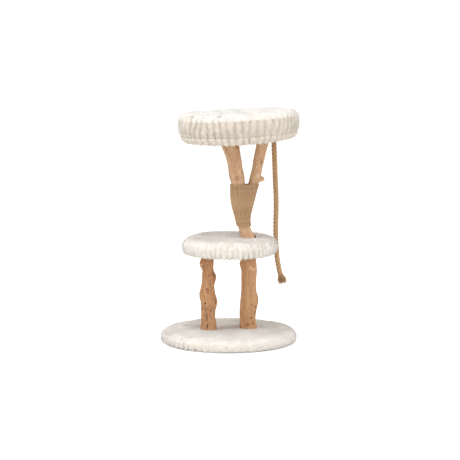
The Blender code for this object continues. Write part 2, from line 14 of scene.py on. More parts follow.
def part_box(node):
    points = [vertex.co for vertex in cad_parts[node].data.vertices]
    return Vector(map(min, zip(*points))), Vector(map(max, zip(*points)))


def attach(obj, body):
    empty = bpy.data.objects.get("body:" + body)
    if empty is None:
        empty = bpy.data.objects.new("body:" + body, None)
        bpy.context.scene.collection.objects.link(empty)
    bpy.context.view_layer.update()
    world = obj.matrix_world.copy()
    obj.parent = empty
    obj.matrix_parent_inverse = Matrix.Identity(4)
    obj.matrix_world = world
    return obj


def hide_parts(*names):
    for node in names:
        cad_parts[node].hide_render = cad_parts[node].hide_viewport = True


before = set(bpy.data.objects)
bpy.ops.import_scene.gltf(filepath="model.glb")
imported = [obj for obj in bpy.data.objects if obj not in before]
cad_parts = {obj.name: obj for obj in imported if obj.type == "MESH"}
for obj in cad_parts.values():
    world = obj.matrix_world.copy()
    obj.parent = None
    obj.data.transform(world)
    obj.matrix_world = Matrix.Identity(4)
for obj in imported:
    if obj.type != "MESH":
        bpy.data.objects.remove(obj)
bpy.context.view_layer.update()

FULL_TURN = 2 * math.pi
FRONT = -math.pi / 2  # the direction of -Y, as an angle about Z

# Camera and light
CAMERA_PLACE = (0.006, -9.0, 1.7634)
CAMERA_PITCH = math.radians(90 - 8.221)
CAMERA_LENS = 173.27
LIGHT_AIM = (0.02, 0, 0.5)
FLOOR_RADIUS = 60
FLOOR_GLOW = 0.55  # keeps the floor white to look at, and adds no light

# Rope: the route of its middle, as (height, x, y)
ROPE_ROUTE = (
    (0.856, 0.1865, 0.095), (0.845, 0.1865, 0.095), (0.791, 0.188, 0.095), (0.725, 0.191, 0.095),
    (0.658, 0.1935, 0.0955), (0.592, 0.1965, 0.096), (0.525, 0.197, 0.0965), (0.483, 0.196, 0.097),
    (0.403, 0.1965, 0.097), (0.344, 0.201, 0.099), (0.311, 0.2052, 0.101), (0.266, 0.214, 0.104),
)
ROPE_DIAMETER = 0.018
STRAND_COUNT = 3
STRAND_OFFSET = 0.0058  # from the rope's middle to a strand's middle
STRAND_RADIUS = 0.0056
STRAND_LAY = 0.048  # the rope's length for one full turn of its strands
YARN_COUNT = 7
GROOVE_SHADE_REACH = (0.0068, 0.0106)  # how near the rope's middle the painted groove shade is darkest, and how far off it is palest
TUFT_BOTTOM = 0.2235

# Bed, in its own plane: (radius, height above the stitch line), from the stitch line to the middle of the top
BED_PROFILE = (
    (0.2365, 0.0004), (0.2395, 0.01), (0.2435, 0.026), (0.2445, 0.045), (0.243, 0.059),
    (0.2395, 0.07), (0.2315, 0.08), (0.214, 0.087), (0.185, 0.0895), (0.14, 0.09), (0.07, 0.089),
    (0.01, 0.0885),
)
BED_RIM = 0.2445
BED_SHIFT = 0.003  # the cover sits this much to the right on its board
BED_PLEATS = 50
BED_GATHER_SEED = 11  # shared, so that cover, skirt and stitches fold together
PLEAT_TOP = 0.066  # the pleats end here, except on the left, where they run over the shoulder
SKIRT_TOP_RADIUS = 0.2365
SKIRT_BULGE = 0.002
SKIRT_HEM_RADIUS = 0.218
SKIRT_CLOTH = 0.003
SKIRT_DEPTH = 0.026
BASE_PROFILE = (
    (0.238, 0.0046), (0.259, 0.0034), (0.271, 0.0048), (0.2765, 0.011), (0.2785, 0.021),
    (0.276, 0.033), (0.268, 0.042), (0.25, 0.0468), (0.2, 0.048), (0.1, 0.048), (0.01, 0.048),
)
BASE_PLEATS = 60
CALM_DIRECTION = math.radians(-55)  # the base is gathered least there
PLATFORM_PROFILE = (
    (0.163, 0.3725), (0.178, 0.37), (0.188, 0.3735), (0.1925, 0.385), (0.193, 0.399),
    (0.189, 0.414), (0.178, 0.4255), (0.159, 0.4315), (0.11, 0.4335), (0.05, 0.4335),
    (0.01, 0.4335),
)
PLATFORM_PLEATS = 54
PLATFORM_X = 0.005

# Plush: cloth and pile
SWELL_FRAMES = 20
CLOTH_SPARE = -0.03  # the cloth is this much bigger than the shape it starts from
SEAM_DENT = 0.0045  # how far the cloth draws in at a fold along the stitch line
PLUSH_LIGHT = (0.93, 0.90, 0.86)
PLUSH_SHADE = (0.86, 0.815, 0.75)
# Painted shade: the plush colour down in the gathers, over the bed's side and over the skirt
PLUSH_PAINTED_SHADE = (0.68, 0.60, 0.51)
# Pale to dark: each tuft's tone is random, and darker in the gathers as painted shade
PILE_TONES = ((0.93, 0.915, 0.89), (0.90, 0.86, 0.80), (0.84, 0.76, 0.66), (0.74, 0.64, 0.53))
PILE_SPACING = 0.0029
PILE_LENGTH = 0.0058
CLUMP_SIZE = 0.006
PILE_COMB = 0.45  # these three lean a tuft away from the cloth's normal
PILE_STRAY = 0.22
PILE_DROOP = 0.18
PILE_SINK = 0.0006  # a tuft's foot is this far down in the cloth
CLOTH_GAP = 0.0012  # the least height of the base's cloth as simulated
FLOOR_GAP = 0.001  # and with its clumps

# Wrap
WRAP_CORD_RADIUS = 0.0019
WRAP_PITCH = 0.0036
WRAP_STEPS = 84  # round one turn
WRAP_SIDES = 8
WRAP_PLIES = 2

# Wood
LIMB_VOXEL = 0.003
RIDGE_LAYERS = ((0.011, 51, 0.50), (0.005, 52, 0.32), (0.0024, 53, 0.18))  # size, seed and share
# Knot colours, also used for the painted shade bands under the platform and at the base cover
KNOT_AND_SHADE_RED = (0.46, 0.19, 0.085)
KNOT_AND_SHADE_DARK = (0.26, 0.11, 0.05)
SCAR_PALE = (0.70, 0.50, 0.33)
PIT_DARK = (0.12, 0.055, 0.028)
KNOT_RING_HEIGHT = 0.0003

# Marks in the wood, by kind: (height, direction in degrees, half width, half height, depth), in millimetres.
# A negative depth stands out of the wood, and a ridge has no colour of its own.
KNOTTY_POST_MARKS = {
    "pit": (
        (220.5, 266, 4.5, 4.2, 3.5), (197.5, 190, 5, 6, 2), (170, 322, 3, 15, 2.5),
        (161.5, 246, 3.6, 6, 4), (134.5, 217, 4.5, 6.5, 3.5), (130.5, 286, 3.8, 4.6, 4),
        (100, 257, 2.8, 13.5, 4.5), (65, 264, 3, 12.5, 4.5), (275, 318, 2.2, 22, 2),
        (240, 70, 3, 16, 3), (110, 60, 4, 6, 3.5), (200, 130, 4, 7, 3.5), (290, 30, 2.5, 15, 2.5),
        (70, 150, 2.4, 15, 3),
    ),
    # Most of these are knots; the wide flat bands at 345 mm and 48 mm are painted shade under the platform
    # and where the post meets the base cover.
    "knot": (
        (323.7, 215, 13, 15, -7), (212, 272, 12, 14, -1.6), (190, 340, 4.5, 22, -3),
        (113, 280, 4, 12, 0), (345, 265, 26, 8, 0), (48, 290, 20, 6, 0), (150, 100, 12, 11, 1),
    ),
    "scar": (
        (324, 226, 4.2, 4.8, -1),
    ),
    "ridge": (
        (245, 296, 5, 30, -1.8), (100, 290, 5, 35, -2), (260, 235, 5, 32, -1.6), (175, 262, 6, 22, -2),
    ),
}
SMOOTH_POST_MARKS = {
    "pit": (
        (150.8, 288, 5, 3, 2.5), (141, 316, 5.6, 4, 3.5), (119, 324, 3.5, 8.5, 2),
        (94.5, 298, 4.2, 4, 4), (66, 267, 4, 3.5, 3), (70, 310, 4.5, 5, 2.5), (190, 60, 2.2, 14, 2.5),
        (250, 20, 3, 5, 2.5),
    ),
    # Most of these are knots; the wide flat band at 344 mm is painted shade under the platform.
    "knot": (
        (344, 272, 28, 7, 0), (320, 184, 9, 12, -4), (70, 268, 9.5, 9, -0.8), (56, 215, 6, 7, 0),
        (230, 120, 6, 7, -0.6),
    ),
    "scar": (
        (309, 285, 5.5, 8, 1), (302, 305, 14, 4.5, -1.2),
    ),
}
LONG_ARM_MARKS = {
    "pit": (
        (438, 335, 6, 5, 1), (682, 203, 4.5, 25, 2), (730, 100, 2.5, 13, 2.2),
    ),
    "knot": (
        (440, 348, 12, 10, -6), (682.4, 270, 8.5, 10, 0), (807.4, 318, 12, 8, 1), (798, 240, 6, 26, 0),
        (460, 120, 6, 7, 0),
    ),
    "scar": (
        (705, 300, 5, 12, 0),
    ),
}
SHORT_ARM_MARKS = {
    "pit": (
        (748, 300, 2.4, 15, 1.6),
    ),
    "knot": (
        (676, 358, 5, 9, 0), (790, 80, 6, 7, 1),
    ),
    "scar": (
        (725.2, 258, 3.6, 6, -0.8), (690, 282, 6, 9, 0),
    ),
}


# ---------------- numbers and meshes


def noise(points, size, seed=0):
    """Smooth random values from -1 to 1 that change over about size metres."""
    cell = points / size
    corner = np.floor(cell).astype(np.int64)
    part = cell - corner
    part = part * part * (3 - 2 * part)
    total = np.zeros(len(points))
    for step in np.ndindex(2, 2, 2):
        at = corner + step
        code = (at @ (73856093, 19349663, 83492791) + seed * 1013904223) & 0xFFFFFFFF
        code = ((code ^ (code >> 15)) * 2246822519) & 0xFFFFFFFF
        code = ((code ^ (code >> 13)) * 3266489917) & 0xFFFFFFFF
        weight = np.where(step, part, 1 - part).prod(axis=1)
        total += weight * ((code ^ (code >> 16)) / 2**31 - 1)
    return total


def fade(value, start, end):
    """0 at start and 1 at end, smoothly in between."""
    share = np.clip((value - start) / (end - start), 0, 1)
    return share * share * (3 - 2 * share)


def smooth_curve(points, spacing):
    """Points about spacing apart on a smooth curve through the given ones (Catmull-Rom)."""
    points = np.array(points, float)
    padded = np.vstack([2 * points[0] - points[1], points, 2 * points[-1] - points[-2]])
    pieces = []
    for before, start, end, after in zip(padded, padded[1:], padded[2:], padded[3:]):
        count = max(2, round(np.linalg.norm(end - start) / spacing * 4))
        t = np.arange(count)[:, None] / count
        pieces.append(
            start
            + 0.5 * t * (end - before)
            + t**2 * (before - 2.5 * start + 2 * end - 0.5 * after)
            + 0.5 * t**3 * (3 * start - before - 3 * end + after)
        )
    line = np.vstack([*pieces, points[-1:]])
    along = np.concatenate([[0], np.cumsum(np.linalg.norm(np.diff(line, axis=0), axis=1))])
    at = np.linspace(0, along[-1], max(2, round(along[-1] / spacing) + 1))
    return np.stack([np.interp(at, along, line[:, k]) for k in range(line.shape[1])], axis=1)


def round_points(radius, height, angle):
    """Points about the Z axis. Each value may be one number or an array."""
    parts = np.broadcast_arrays(radius * np.cos(angle), radius * np.sin(angle), height)
    return np.stack(parts, axis=-1).reshape(-1, 3)


def unit(vectors):
    return vectors / np.maximum(np.linalg.norm(vectors, axis=-1, keepdims=True), 1e-12)


def vertex_vectors(mesh, field):
    flat = np.zeros(len(mesh.vertices) * 3, np.float32)
    mesh.vertices.foreach_get(field, flat)
    return flat.reshape(-1, 3).astype(float)


def positions(mesh):
    return vertex_vectors(mesh, "co")


def vertex_normals(mesh):
    return vertex_vectors(mesh, "normal")


def set_positions(mesh, points):
    mesh.vertices.foreach_set("co", points.astype(np.float32).ravel())
    mesh.update()


def set_values(mesh, name, values):
    """Stores one number, or one vector, for each vertex, for a material to read."""
    kind = "FLOAT_VECTOR" if values.ndim == 2 else "FLOAT"
    field = "vector" if values.ndim == 2 else "value"
    attribute = mesh.attributes.new(name, kind, "POINT")
    attribute.data.foreach_set(field, values.astype(np.float32).ravel())


def add_object(name, data):
    made = bpy.data.objects.new(name, data)
    bpy.context.scene.collection.objects.link(made)
    return made


def add_piece(name, points, faces, material, body="tree"):
    """A new smooth piece that rides on a body."""
    mesh = bpy.data.meshes.new(name)
    faces = faces.tolist() if isinstance(faces, np.ndarray) else faces
    mesh.from_pydata(np.asarray(points, float).tolist(), [], faces)
    mesh.materials.append(material)
    mesh.shade_smooth()
    piece = add_object(name, mesh)
    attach(piece, body)
    return piece


def grid_faces(rows, columns, closed_rows=False, turned=False):
    """Quads over a grid of points whose columns run round a full turn."""
    lower = np.arange(rows if closed_rows else rows - 1)
    upper = (lower + 1) % rows
    here = np.arange(columns)
    there = (here + 1) % columns
    corners = [
        lower[:, None] * columns + here,
        lower[:, None] * columns + there,
        upper[:, None] * columns + there,
        upper[:, None] * columns + here,
    ]
    faces = np.stack(corners, axis=-1).reshape(-1, 4)
    return faces[:, ::-1] if turned else faces


def tube_points(path, radius, sides):
    """Rings of points round a path. The radius may be one number, one per ring, or one per point."""
    path = np.asarray(path, float)
    along = unit(np.gradient(path, axis=0))
    side = np.array([1.0, 0.0, 0.0]) if abs(along[0][0]) < 0.9 else np.array([0.0, 1.0, 0.0])
    across = np.zeros_like(path)
    for index, direction in enumerate(along):
        side = side - direction * (side @ direction)
        side = side / np.linalg.norm(side)
        across[index] = side
    other = np.cross(along, across)
    angles = np.arange(sides) / sides * FULL_TURN
    if np.ndim(radius) == 1:
        radius = radius[:, None]
    radius = np.broadcast_to(radius, (len(path), sides))
    ring = across[:, None] * np.cos(angles)[:, None] + other[:, None] * np.sin(angles)[:, None]
    return path[:, None] + ring * radius[..., None]


def tube_faces(rings, sides, start=0):
    """Quads along a tube and one face over each end."""
    quads = grid_faces(rings, sides) + start
    ends = [list(range(start + sides - 1, start - 1, -1))]
    ends.append(list(range(start + (rings - 1) * sides, start + rings * sides)))
    return quads.tolist() + ends


def applied(piece):
    """Puts a piece's modifiers into its mesh."""
    graph = bpy.context.evaluated_depsgraph_get()
    mesh = bpy.data.meshes.new_from_object(piece.evaluated_get(graph))
    old = piece.data
    piece.modifiers.clear()
    piece.data = mesh
    bpy.data.meshes.remove(old)
    mesh.name = piece.name
    mesh.shade_smooth()


def subdivide(piece):
    modifier = piece.modifiers.new("finer", "SUBSURF")
    modifier.levels = 1
    modifier.render_levels = 1
    applied(piece)


def swell(piece, held, pressure, most):
    """Cloth simulation: the padding pushes the cloth out between the places where it is held."""
    before = positions(piece.data)
    group = piece.vertex_groups.new(name="held")
    for share in np.unique(np.round(held, 1)):
        group.add(np.flatnonzero(np.round(held, 1) == share).tolist(), float(share), "REPLACE")
    cloth = piece.modifiers.new("cloth", "CLOTH").settings
    cloth.vertex_group_mass = group.name
    cloth.use_pressure = True
    cloth.uniform_pressure_force = pressure
    cloth.effector_weights.gravity = 0
    cloth.quality = 4
    cloth.mass = 0.25
    cloth.tension_stiffness = 20
    cloth.compression_stiffness = 10
    cloth.shear_stiffness = 8
    cloth.bending_stiffness = 0.4
    cloth.shrink_min = CLOTH_SPARE
    for step in range(1, SWELL_FRAMES + 1):
        bpy.context.scene.frame_set(step)
    graph = bpy.context.evaluated_depsgraph_get()
    evaluated = piece.evaluated_get(graph)
    after = positions(evaluated.to_mesh())
    evaluated.to_mesh_clear()
    piece.modifiers.clear()
    piece.vertex_groups.clear()
    bpy.context.scene.frame_set(1)
    move = after - before
    distance = np.linalg.norm(move, axis=1, keepdims=True)
    set_positions(piece.data, before + move * np.minimum(1, most / np.maximum(distance, 1e-9)))


# ---------------- materials


class Shader:
    """A material being wired up: short ways to add the nodes that these materials use."""

    def __init__(self, name, roughness=0.6, metallic=0.0):
        self.material = bpy.data.materials.new(name)
        self.material.use_nodes = True
        self.tree = self.material.node_tree
        self.surface = self.tree.nodes["Principled BSDF"]
        self.surface.inputs["Roughness"].default_value = roughness
        self.surface.inputs["Metallic"].default_value = metallic

    def feed(self, value, socket):
        """Links another node's output to a socket, or sets the socket to a number or a colour."""
        if isinstance(value, bpy.types.NodeSocket):
            self.tree.links.new(value, socket)
        elif isinstance(value, tuple):
            socket.default_value = (*value, 1.0)
        else:
            socket.default_value = value

    def node(self, kind, sockets=None, **settings):
        made = self.tree.nodes.new(kind)
        for key, value in settings.items():
            setattr(made, key, value)
        for key, value in (sockets or {}).items():
            self.feed(value, made.inputs[key])
        return made

    def place(self, stretch=(1, 1, 1)):
        """The frame's own coordinates, stretched."""
        coordinates = self.node("ShaderNodeTexCoord")
        mapping = self.node("ShaderNodeMapping", {"Vector": coordinates.outputs["Object"]})
        mapping.inputs["Scale"].default_value = stretch
        return mapping.outputs["Vector"]

    def value(self, name, field="Fac"):
        """A number or a vector that the mesh stores."""
        return self.node("ShaderNodeAttribute", attribute_name=name).outputs[field]

    def noise(self, where, scale, detail=4, roughness=0.55, distortion=0.0):
        sockets = {"Vector": where, "Scale": scale, "Detail": detail, "Roughness": roughness}
        sockets["Distortion"] = distortion
        return self.node("ShaderNodeTexNoise", sockets).outputs["Fac"]

    def range(self, value, low, high, to_low=0.0, to_high=1.0):
        sockets = {"Value": value, "From Min": low, "From Max": high, "To Min": to_low, "To Max": to_high}
        return self.node("ShaderNodeMapRange", sockets, interpolation_type="SMOOTHSTEP").outputs["Result"]

    def mix(self, share, first, second):
        """Mixes two colours; each is a colour or another node's output."""
        return self.node("ShaderNodeMix", {0: share, 6: first, 7: second}, data_type="RGBA").outputs[2]

    def tones(self, value, low, high, first, second):
        """The first colour where the value is low and the second where it is high."""
        return self.mix(self.range(value, low, high), first, second)

    def over(self, body, colour, value, low, high, most):
        """The body with up to the share most of a colour on it where the value is high."""
        return self.mix(self.range(value, low, high, 0.0, most), body, colour)

    def combine(self, first, second, operation="ADD"):
        return self.node("ShaderNodeMath", {0: first, 1: second}, operation=operation).outputs[0]

    def bump(self, height, distance):
        made = self.node("ShaderNodeBump", {"Strength": 1.0, "Distance": distance, "Height": height})
        self.feed(made.outputs["Normal"], self.surface.inputs["Normal"])

    def colour(self, value):
        self.feed(value, self.surface.inputs["Base Color"])

    def roughness(self, output):
        self.feed(output, self.surface.inputs["Roughness"])


def plush_cloth():
    """The pile's ground: warm white, with painted shade that makes it darker and warmer down in the gathers,
    on the bed's side and on the skirt.
    """
    shader = Shader("plush_cloth")
    place = shader.place()
    clumps = shader.noise(place, 90, detail=3)
    fibres = shader.noise(place, 700, detail=2)
    mottled = shader.tones(clumps, 0.35, 0.65, PLUSH_SHADE, PLUSH_LIGHT)
    # Painted shade: darker and warmer where the stored shade value is high.
    painted_shade = shader.tones(shader.value("painted_plush_shade"), 0.1, 1.0, mottled, PLUSH_PAINTED_SHADE)
    shader.colour(shader.over(painted_shade, PLUSH_SHADE, fibres, 0.3, 0.7, 0.35))
    shader.roughness(shader.range(clumps, 0.3, 0.7, 0.88, 1.0))
    shader.bump(shader.combine(shader.combine(clumps, 0.6, "MULTIPLY"), fibres), 0.0014)
    shader.surface.inputs["Sheen Weight"].default_value = 0.25
    shader.surface.inputs["Sheen Roughness"].default_value = 0.5
    return shader.material


def plush_tuft(name, colour):
    """One plain tone of pile. Tufts are too fine for a pattern; their tones vary from tuft to tuft."""
    shader = Shader(name, roughness=0.95)
    shader.colour(colour)
    shader.surface.inputs["Sheen Weight"].default_value = 0.2
    return shader.material


def wood(name, pale, warm, dark, streaks, mottling):
    """Barked natural wood: streaks along the limb, blotches, and the stored pits, knots, painted shade bands
    and scars.
    """
    shader = Shader(name)
    grain = shader.value("grain", "Vector")
    fine = shader.noise(grain, streaks, detail=6, roughness=0.6, distortion=0.15)
    broad = shader.noise(grain, streaks * 0.16, detail=4, roughness=0.55, distortion=0.3)
    blotch = shader.noise(shader.place(), 22, detail=5, roughness=0.6)
    body = shader.tones(broad, 0.32, 0.68, warm, pale)
    body = shader.over(body, warm, blotch, 0.50, 0.72, 0.55)
    body = shader.over(body, dark, fine, 0.50, 0.74, 0.75)
    mottle = shader.noise(shader.place((1, 1, 0.6)), 95, detail=4, roughness=0.6)
    body = shader.over(body, dark, mottle, 0.50, 0.70, mottling)
    # Knot colour, which also paints the shade bands under the platform and at the base cover.
    ringed = shader.tones(fine, 0.35, 0.6, KNOT_AND_SHADE_DARK, KNOT_AND_SHADE_RED)
    body = shader.over(body, ringed, shader.value("knot"), 0.1, 0.9, 0.75)
    body = shader.over(body, SCAR_PALE, shader.value("scar"), 0.2, 0.8, 0.85)
    shader.colour(shader.over(body, PIT_DARK, shader.value("pit"), 0.15, 0.8, 0.9))
    shader.roughness(shader.range(fine, 0.3, 0.7, 0.52, 0.74))
    shader.bump(shader.combine(fine, shader.combine(broad, 0.8, "MULTIPLY")), 0.0011)
    return shader.material


def fibre_cord(name, pale, shade, painted_shade, scale):
    """Twisted plant fibre: fine streaks along each yarn, and painted shade in the grooves between strands, so
    the crowns look paler.
    """
    shader = Shader(name, roughness=0.9)
    where = shader.value("strand", "Vector")
    yarns = shader.noise(where, scale, detail=5, roughness=0.65, distortion=0.2)
    patches = shader.noise(shader.place(), 45, detail=3)
    body = shader.tones(yarns, 0.32, 0.68, shade, pale)
    body = shader.over(body, shade, patches, 0.4, 0.7, 0.4)
    # Painted shade in the grooves between strands and plies, and random tone on the loose hairs.
    shader.colour(shader.over(body, painted_shade, shader.value("groove_shade_and_tone"), 0.2, 1.0, 0.85))
    shader.roughness(shader.range(yarns, 0.3, 0.7, 0.8, 0.98))
    shader.bump(yarns, 0.0006)
    return shader.material


def plywood():
    """Sheet edges in thin plies, faces with a long soft grain."""
    shader = Shader("plywood", roughness=0.6)
    grain = shader.noise(shader.place((1, 0.06, 1)), 160, detail=5)
    plies = shader.noise(shader.place((0.02, 0.02, 1)), 900, detail=1)
    body = shader.tones(grain, 0.35, 0.65, (0.50, 0.33, 0.17), (0.66, 0.47, 0.27))
    shader.colour(shader.over(body, (0.33, 0.20, 0.10), plies, 0.45, 0.6, 0.35))
    shader.roughness(shader.range(grain, 0.3, 0.7, 0.5, 0.7))
    shader.bump(grain, 0.0003)
    return shader.material


def foam():
    """Cut foam: fine open cells and a slight yellow cast."""
    shader = Shader("foam", roughness=0.95)
    sockets = {"Vector": shader.place(), "Scale": 520}
    cells = shader.node("ShaderNodeTexVoronoi", sockets, feature="DISTANCE_TO_EDGE")
    edge = shader.range(cells.outputs["Distance"], 0.0, 0.3)
    patches = shader.noise(shader.place(), 30, detail=3)
    body = shader.tones(patches, 0.3, 0.7, (0.84, 0.78, 0.58), (0.90, 0.85, 0.68))
    shader.colour(shader.mix(edge, (0.66, 0.58, 0.38), body))
    shader.bump(edge, 0.0008)
    return shader.material


def two_toned(name, pattern, contrast, tones, gloss, relief, depth, metallic=0.0):
    """Colour and gloss follow one pattern, and relief another. Each is its stretch, scale and detail."""
    shader = Shader(name, metallic=metallic)
    shades = shader.noise(shader.place(pattern[0]), *pattern[1:])
    shader.colour(shader.tones(shades, *contrast, *tones))
    shader.roughness(shader.range(shades, 0.3, 0.7, *gloss))
    shader.bump(shader.noise(shader.place(relief[0]), *relief[1:]), depth)
    return shader.material


def zinc():
    """Zinc-plated steel: cloudy spangle and fine turning marks."""
    spangle = ((1, 1, 1), 260, 4)
    turning = ((1, 1, 30), 120, 2)
    greys = ((0.50, 0.52, 0.55), (0.68, 0.69, 0.70))
    return two_toned("zinc", spangle, (0.3, 0.7), greys, (0.25, 0.5), turning, 0.0001, metallic=1.0)


def rubber():
    """Moulded rubber: near black, faintly grained and dusty."""
    dust = ((1, 1, 1), 60, 4)
    grain = ((1, 1, 1), 1400, 2)
    blacks = ((0.018, 0.018, 0.020), (0.05, 0.048, 0.045))
    return two_toned("rubber", dust, (0.45, 0.75), blacks, (0.65, 0.9), grain, 0.0002)


def elastic():
    """Woven elastic: white threads across fine ribs."""
    ribs = ((1, 1, 0.1), 1200, 2)
    whites = ((0.62, 0.61, 0.58), (0.86, 0.85, 0.82))
    return two_toned("elastic", ribs, (0.35, 0.65), whites, (0.6, 0.85), ribs, 0.0003)


# ---------------- camera, floor and light


def add_camera():
    data = bpy.data.cameras.new("camera")
    data.lens = CAMERA_LENS
    camera = add_object("camera", data)
    camera.location = CAMERA_PLACE
    camera.rotation_euler = (CAMERA_PITCH, 0, 0)
    bpy.context.scene.camera = camera


def add_floor():
    """A plain white floor that runs out past every view."""
    shader = Shader("floor", roughness=0.95)
    dust = shader.noise(shader.place(), 3, detail=3)
    shader.colour(shader.tones(dust, 0.3, 0.7, (0.93, 0.93, 0.93), (0.95, 0.95, 0.95)))
    shader.surface.inputs["Specular IOR Level"].default_value = 0.1
    shader.feed((1, 1, 1), shader.surface.inputs["Emission Color"])
    seen = shader.node("ShaderNodeLightPath").outputs["Is Camera Ray"]
    shader.feed(shader.combine(seen, FLOOR_GLOW, "MULTIPLY"), shader.surface.inputs["Emission Strength"])
    corners = 64
    rim = round_points(FLOOR_RADIUS, 0, np.arange(corners) / corners * FULL_TURN)
    mesh = bpy.data.meshes.new("floor")
    mesh.from_pydata(rim.tolist(), [], [list(range(corners))])
    mesh.materials.append(shader.material)
    add_object("floor", mesh)


def add_area_light(name, place, size, watts, colour=(1, 1, 1)):
    data = bpy.data.lights.new(name, "AREA")
    data.shape = "DISK"
    data.size = size
    data.energy = watts
    data.color = colour
    light = add_object(name, data)
    light.location = place
    light.rotation_euler = (Vector(LIGHT_AIM) - Vector(place)).to_track_quat("-Z", "Y").to_euler()


def add_world():
    """White to look at, and a dimmer warm white to be lit by."""
    world = bpy.data.worlds.new("studio")
    world.use_nodes = True
    bpy.context.scene.world = world
    tree = world.node_tree
    lit = tree.nodes["Background"]
    lit.inputs["Color"].default_value = (1.0, 0.955, 0.90, 1)
    lit.inputs["Strength"].default_value = 0.70
    seen = tree.nodes.new("ShaderNodeBackground")
    seen.inputs["Color"].default_value = (1, 1, 1, 1)
    seen.inputs["Strength"].default_value = 1.1
    path = tree.nodes.new("ShaderNodeLightPath")
    mix = tree.nodes.new("ShaderNodeMixShader")
    tree.links.new(path.outputs["Is Camera Ray"], mix.inputs[0])
    tree.links.new(lit.outputs[0], mix.inputs[1])
    tree.links.new(seen.outputs[0], mix.inputs[2])
    tree.links.new(mix.outputs[0], tree.nodes["World Output"].inputs["Surface"])


def add_studio():
    add_camera()
    add_floor()
    add_world()
    add_area_light("key", (-2.6, -0.7, 3.0), 1.9, 60)
    add_area_light("top", (0.5, -0.9, 3.6), 2.8, 46)
    add_area_light("front", (0.8, -4.5, 1.6), 2.4, 23, colour=(1.0, 0.95, 0.89))
    add_area_light("fill", (3.0, -2.0, 2.2), 2.0, 22)
    bpy.context.scene.view_settings.view_transform = "Standard"


# ---------------- rope


def rope_route():
    return smooth_curve([(x, y, height) for height, x, y in ROPE_ROUTE], 0.0022)


def strand_path(route, number):
    """The middle of one strand, winding round the rope's route."""
    along = np.concatenate([[0], np.cumsum(np.linalg.norm(np.diff(route, axis=0), axis=1))])
    turn = along / STRAND_LAY * FULL_TURN + number * FULL_TURN / STRAND_COUNT
    direction = unit(np.gradient(route, axis=0))
    across = unit(np.cross(direction, (0.0, 1.0, 0.0)))
    other = np.cross(direction, across)
    return route + STRAND_OFFSET * (across * np.cos(turn)[:, None] + other * np.sin(turn)[:, None])


def add_rope(material):
    """Three strands of twisted yarns laid round each other, in one piece."""
    route = rope_route()
    sides = YARN_COUNT * 4
    points, faces, strands, groove_shades_and_tones = [], [], [], []
    for number in range(STRAND_COUNT):
        path = strand_path(route, number)
        steps = np.arange(len(path))[:, None]
        angles = np.arange(sides)[None, :] / sides * FULL_TURN
        twist = YARN_COUNT * angles - steps * 0.55
        relief = np.abs(np.sin(twist / 2))
        swell_along = 1 + 0.03 * np.sin(steps * 0.21 + number)
        radius = STRAND_RADIUS * swell_along * (0.92 + 0.11 * relief)
        rings = tube_points(path, radius, sides)
        faces += tube_faces(len(path), sides, start=sum(len(p) for p in points))
        points.append(rings.reshape(-1, 3))
        from_middle = np.linalg.norm(rings - route[:, None], axis=2)
        # Painted shade: darkest where the strands meet near the rope's middle, and down between the yarns.
        groove_shade_and_tone = 1.5 * fade(-from_middle, -GROOVE_SHADE_REACH[1], -GROOVE_SHADE_REACH[0]) + 0.30 * (1 - relief)
        groove_shades_and_tones.append(np.clip(groove_shade_and_tone, 0, 1).ravel())
        strand = np.stack([np.sin(twist / YARN_COUNT) * 0.006, np.cos(twist / YARN_COUNT) * 0.006,
                           np.broadcast_to(steps * 0.0003 + number, twist.shape)], axis=-1)
        strands.append(strand.reshape(-1, 3))
    rope = add_piece("play_rope", np.vstack(points), faces, material, body="rope")
    set_values(rope.data, "strand", np.vstack(strands))
    set_values(rope.data, "groove_shade_and_tone", np.concatenate(groove_shades_and_tones))
    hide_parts("rope")
    return rope, route


def fibre_bundle(starts, directions, lengths, radius, droop, rng, sides=3):
    """Tapered curling hairs, as points and faces."""
    rings = 6
    points, faces = [], []
    for start, direction, length in zip(starts, directions, lengths):
        t = np.linspace(0, 1, rings)[:, None]
        curl = rng.normal(0, 0.18, 3) * length
        path = start + direction * length * t + curl * t**2 + np.array([0, 0, -droop]) * length * t**2
        taper = radius * (1 - 0.85 * t[:, 0] ** 1.5)
        faces += tube_faces(rings, sides, start=len(points) * rings * sides)
        points.append(tube_points(path, taper, sides).reshape(-1, 3))
    return np.vstack(points), faces


def add_rope_fibres(route, material):
    """Loose hairs that stand off the rope all along it."""
    rng = np.random.default_rng(3)
    count = 420
    at = rng.integers(30, len(route) - 3, count)
    angle = rng.random(count) * FULL_TURN
    out = round_points(1, 0, angle)
    starts = route[at] + out * (ROPE_DIAMETER / 2 - 0.0012)
    directions = unit(out + np.array([0, 0, -0.9]) + rng.normal(0, 0.5, (count, 3)))
    points, faces = fibre_bundle(starts, directions, rng.uniform(0.004, 0.011, count), 0.00022, 0.2, rng)
    fibres = add_piece("play_rope_hairs", points, faces, material, body="rope")
    finish_fibres(fibres)
    return fibres


def finish_fibres(fibres):
    points = positions(fibres.data)
    set_values(fibres.data, "strand", points)
    set_values(fibres.data, "groove_shade_and_tone", np.clip(0.3 + 0.4 * noise(points, 0.004), 0, 1))


